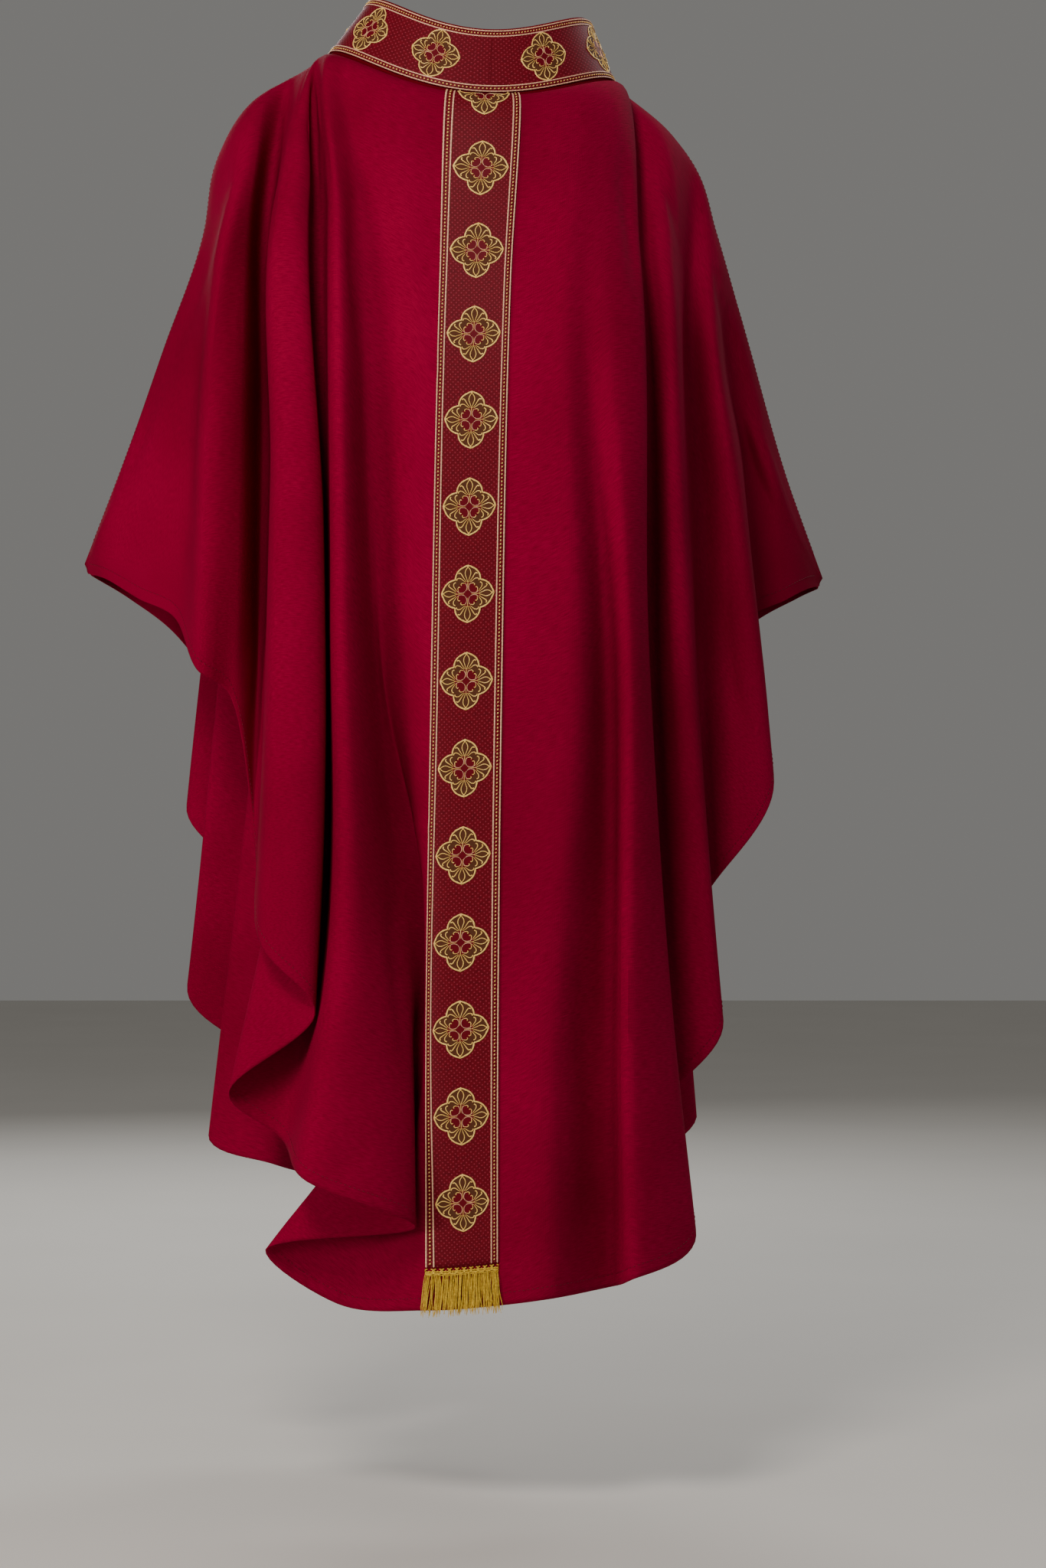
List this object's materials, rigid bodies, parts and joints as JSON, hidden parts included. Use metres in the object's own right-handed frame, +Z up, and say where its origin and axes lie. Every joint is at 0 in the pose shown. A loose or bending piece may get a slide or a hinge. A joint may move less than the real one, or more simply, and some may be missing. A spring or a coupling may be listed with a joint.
{
  "type": "chasuble",
  "caption": "Gothic chasuble as worn, a hollow crimson cloak with folded wings, a standing galloon neckband and a fringed galloon band down the back.",
  "frame": {"origin": "middle of the neck opening at the height of the shoulders, where the wearer holds the garment up", "axes": "+Z up, the front faces -Y and the back +Y, the wearer's left side is +X"},
  "size_m": [0.8294, 0.4707, 1.411],
  "materials": {
    "cloth": "crimson plain-weave wool, soft sheen",
    "neckband_cloth": "red lining, matt",
    "galloon": "deep red satin ground with woven gold",
    "gold_thread": "gold thread, soft metallic sheen"
  },
  "bodies": {
    "root": {"back_panel": "cloth", "front_panel": "cloth", "neckband": "neckband_cloth", "neckband_galloon": "galloon", "back_galloon": "galloon", "fringe": "gold_thread"}
  },
  "joints": []
}
